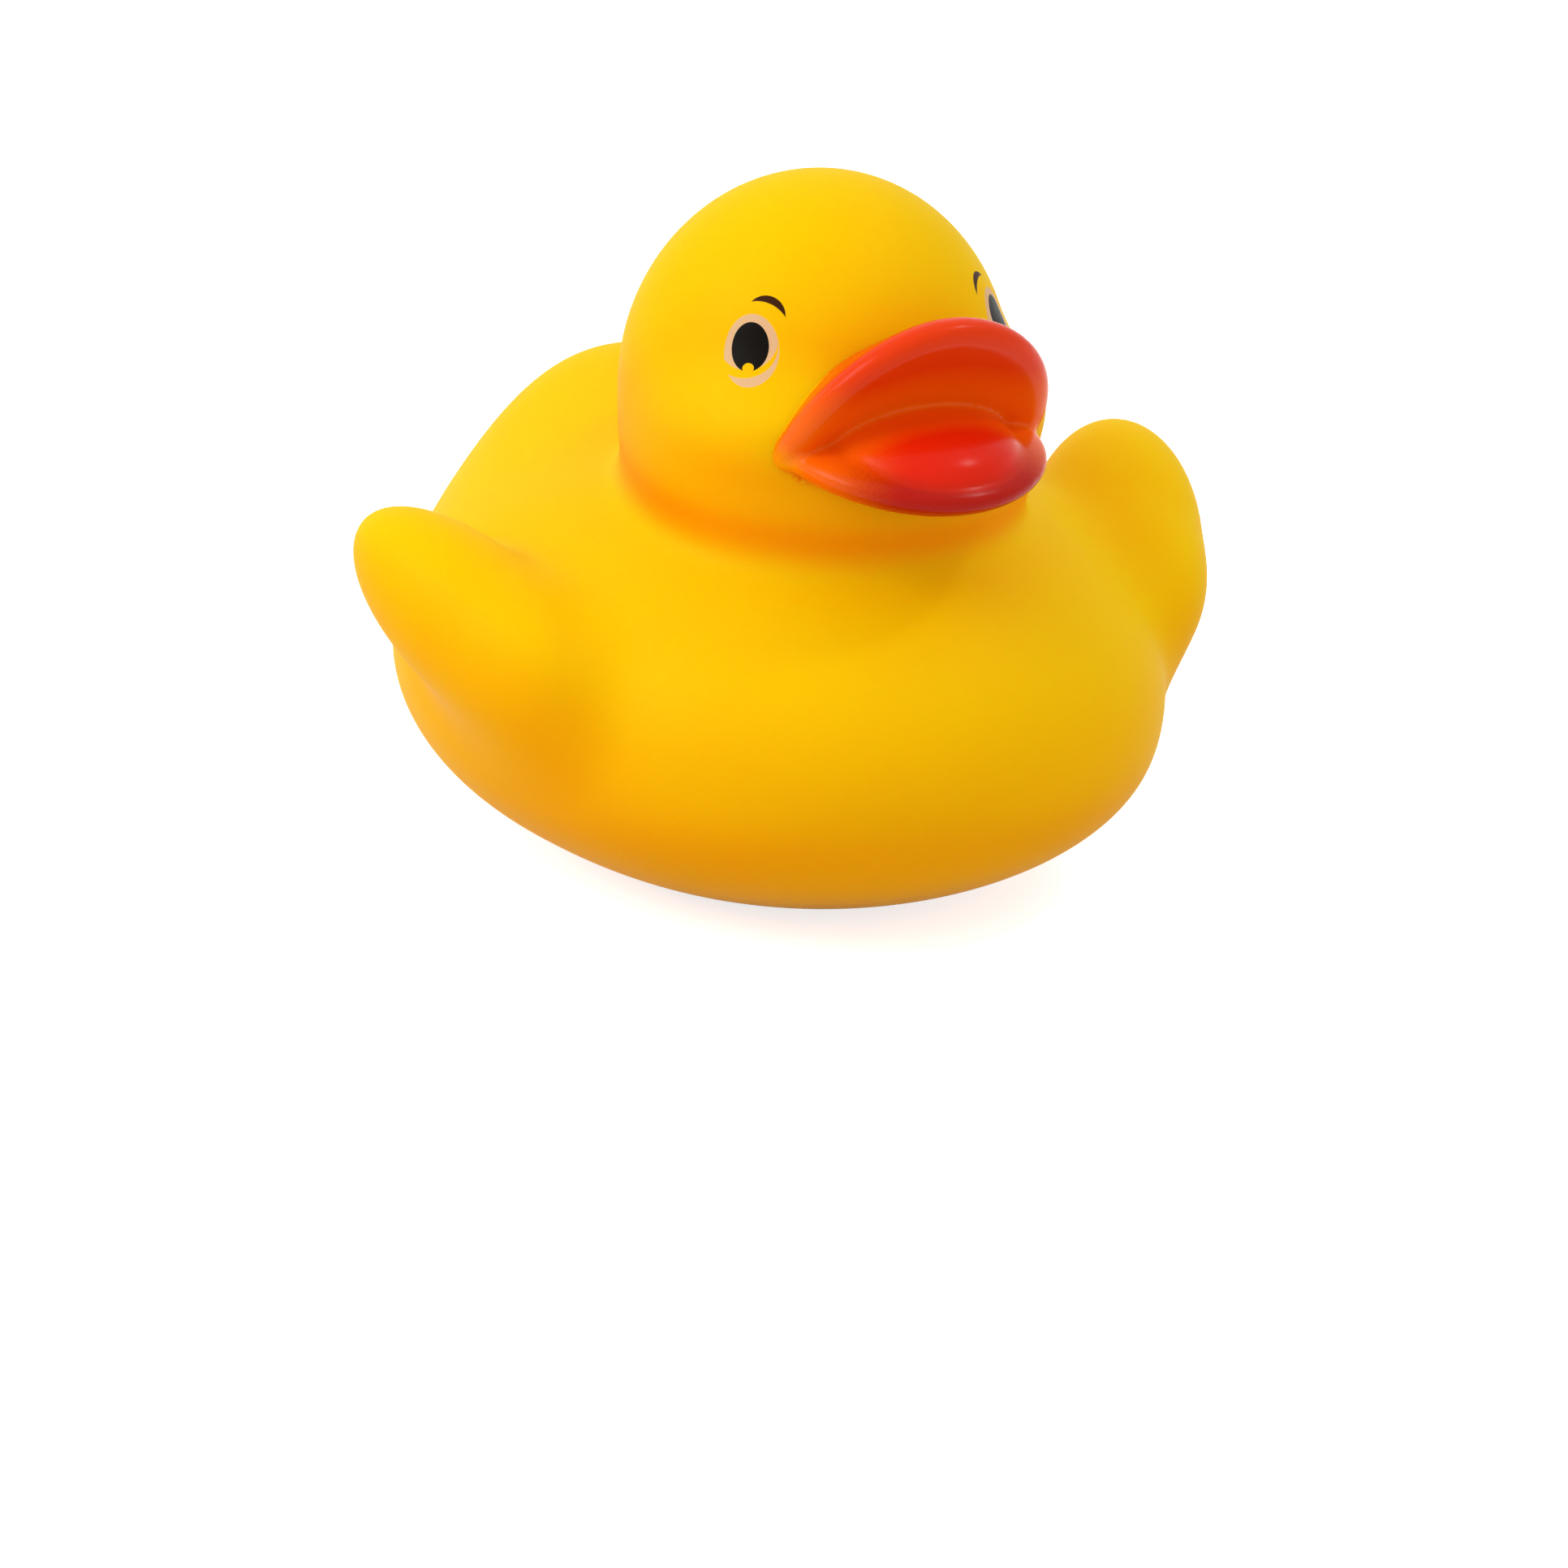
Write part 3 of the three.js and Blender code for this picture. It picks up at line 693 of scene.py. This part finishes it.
roughness = ramped(tree, ink, 0, 1, 0.52, 0.3)
grain = noise(tree, place, 0.35)
bump = add_node(tree, "ShaderNodeBump", {"Strength": 0.06, "Distance": 0.05 * MM, "Height": grain})
shader = add_node(
    tree,
    "ShaderNodeBsdfPrincipled",
    {
        "Base Color": colour,
        "Roughness": roughness,
        "Specular IOR Level": 0.03,
        "Subsurface Weight": soft_share,
        "Subsurface Radius": (1.0, 0.3, 0.05),
        "Subsurface Scale": 6 * MM,
        "IOR": 1.5,
        "Normal": bump.outputs[0],
    },
)
add_node(tree, "ShaderNodeOutputMaterial", {0: shader.outputs[0]})
skin.data.materials.append(vinyl)
print("vinyl has", len(tree.nodes), "nodes")

# %% Sprayed lacquer
lacquer, tree = new_finish("sprayed_red_lacquer")
folded, place = folded_place(tree)
specks = noise(tree, place, SPECK_GRAIN, SPECK_DETAIL)
thin_paint = measured(tree, "thin")
red = mixed(tree, measured(tree, "tongue"), linear(FAN_RED), linear(TONGUE_RED))
red = mixed(tree, combined(tree, "MULTIPLY", thin_paint, THIN_SHARE), red, linear(THIN_ORANGE))
red = mixed(tree, measured(tree, "lip"), red, linear(LIP_RED))
# Painted shade: the lacquer is painted a darker red in the grooves, where shade falls.
groove_shade = combined(tree, "MULTIPLY", measured(tree, "groove"), without(tree, thin_paint))
red = mixed(tree, groove_shade, red, linear(GROOVE_SHADE_RED))
colour = lacquered(tree, folded, specks, red)
bare = combined(tree, "ADD", measured(tree, "bare"), scattered(tree, specks, BARE_SCATTER))
colour = mixed(tree, ramped(tree, bare, 0.3, 0.7), colour, linear(BARE_YELLOW))
bump = add_node(tree, "ShaderNodeBump", {"Strength": 0.1, "Distance": 0.04 * MM, "Height": specks})
shader = add_node(
    tree,
    "ShaderNodeBsdfPrincipled",
    {
        "Base Color": colour,
        "Roughness": 0.24,
        "Specular IOR Level": 0.12,
        "Subsurface Weight": 0.1,
        "Subsurface Radius": (1.0, 0.25, 0.05),
        "Subsurface Scale": 1.5 * MM,
        "IOR": 1.5,
        "Normal": bump.outputs[0],
    },
)
add_node(tree, "ShaderNodeOutputMaterial", {0: shader.outputs[0]})
bill.data.materials.append(lacquer)

# %% [markdown]
# The squeaker is injection-moulded polyethylene: smooth, waxy and off-white, with a soft shine.

# %% Squeaker plastic
plastic, tree = new_finish("moulded_polyethylene_ivory")
place = add_node(tree, "ShaderNodeTexCoord").outputs["Object"]
colour = mixed(tree, noise(tree, place, 2), linear("#efe9da"), linear("#f5f1e6"))
shader = add_node(
    tree,
    "ShaderNodeBsdfPrincipled",
    {
        "Base Color": colour,
        "Roughness": 0.5,
        "IOR": 1.5,
        "Subsurface Weight": 0.1,
        "Subsurface Scale": MM,
    },
)
add_node(tree, "ShaderNodeOutputMaterial", {0: shader.outputs[0]})
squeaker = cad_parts["squeaker"]
squeaker.data.materials.clear()
squeaker.data.materials.append(plastic)

# %% [markdown]
# The picture is a packshot: a white sweep, light from all round that is stronger from above, a
# large soft box on the left and a small one higher up on the right. The paper glows to the
# camera, so that only the deepest part of the duck's own shadow is left on it. It lies a hair
# under the base, so that the two don't share a plane.

# %% Floor, world and lamps
FLOOR_HALF_WIDTH = 6
FLOOR_DROP = 0.02
PAPER_COLOUR = "#e0e0e0"
PAPER_GLOW = 0.76
HORIZON = -0.2
LIGHT_BELOW = 0.58
LIGHT_ABOVE = 0.85


def looked_at(tree):
    """One for rays from the camera, also by way of a gloss or through glass, and else nought."""
    path = add_node(tree, "ShaderNodeLightPath").outputs
    mirrored = combined(tree, "MAXIMUM", path["Is Glossy Ray"], path["Is Transmission Ray"])
    return combined(tree, "MAXIMUM", path["Is Camera Ray"], mirrored)


floor_mesh = bmesh.new()
bmesh.ops.create_grid(floor_mesh, x_segments=1, y_segments=1, size=FLOOR_HALF_WIDTH)
bmesh.ops.translate(floor_mesh, vec=(0, 0, -FLOOR_DROP * MM), verts=floor_mesh.verts)
floor = new_piece("floor", floor_mesh)
sweep, tree = new_finish("white_sweep")
paper = add_node(tree, "ShaderNodeBsdfDiffuse", {"Color": linear(PAPER_COLOUR)})
glow = add_node(
    tree,
    "ShaderNodeEmission",
    {"Color": (1, 1, 1, 1), "Strength": combined(tree, "MULTIPLY", looked_at(tree), PAPER_GLOW)},
)
both = add_node(tree, "ShaderNodeAddShader", {0: paper.outputs[0], 1: glow.outputs[0]})
add_node(tree, "ShaderNodeOutputMaterial", {0: both.outputs[0]})
floor.data.materials.append(sweep)

world = bpy.data.worlds.new("studio")
bpy.context.scene.world = world
world.use_nodes = True
world.node_tree.nodes.clear()
tree = world.node_tree
sky = add_node(tree, "ShaderNodeTexCoord").outputs["Generated"]
height = add_node(tree, "ShaderNodeSeparateXYZ", {0: sky}).outputs[2]
strength = ramped(tree, height, HORIZON, 1, LIGHT_BELOW, LIGHT_ABOVE)
light = add_node(tree, "ShaderNodeBackground", {0: (1, 1, 1, 1), 1: strength})
paper = add_node(tree, "ShaderNodeBackground", {0: (1, 1, 1, 1), 1: 1.0})
both = add_node(
    tree, "ShaderNodeMixShader", {0: looked_at(tree), 1: light.outputs[0], 2: paper.outputs[0]}
)
add_node(tree, "ShaderNodeOutputWorld", {0: both.outputs[0]})


def soft_box(name, place, size, power):
    lamp = bpy.data.objects.new(name, bpy.data.lights.new(name, "AREA"))
    bpy.context.scene.collection.objects.link(lamp)
    lamp.data.shape = "SQUARE"
    lamp.data.size = size
    lamp.data.energy = power
    lamp.location = Vector(place)
    lamp.rotation_euler = (-Vector(place)).to_track_quat("-Z", "Y").to_euler()


soft_box("key", place=(-0.66, 0.05, 0.5), size=0.4, power=2.6)
soft_box("fill", place=(0.45, -0.27, 0.75), size=0.1, power=0.8)

bpy.context.scene.view_settings.view_transform = "Standard"
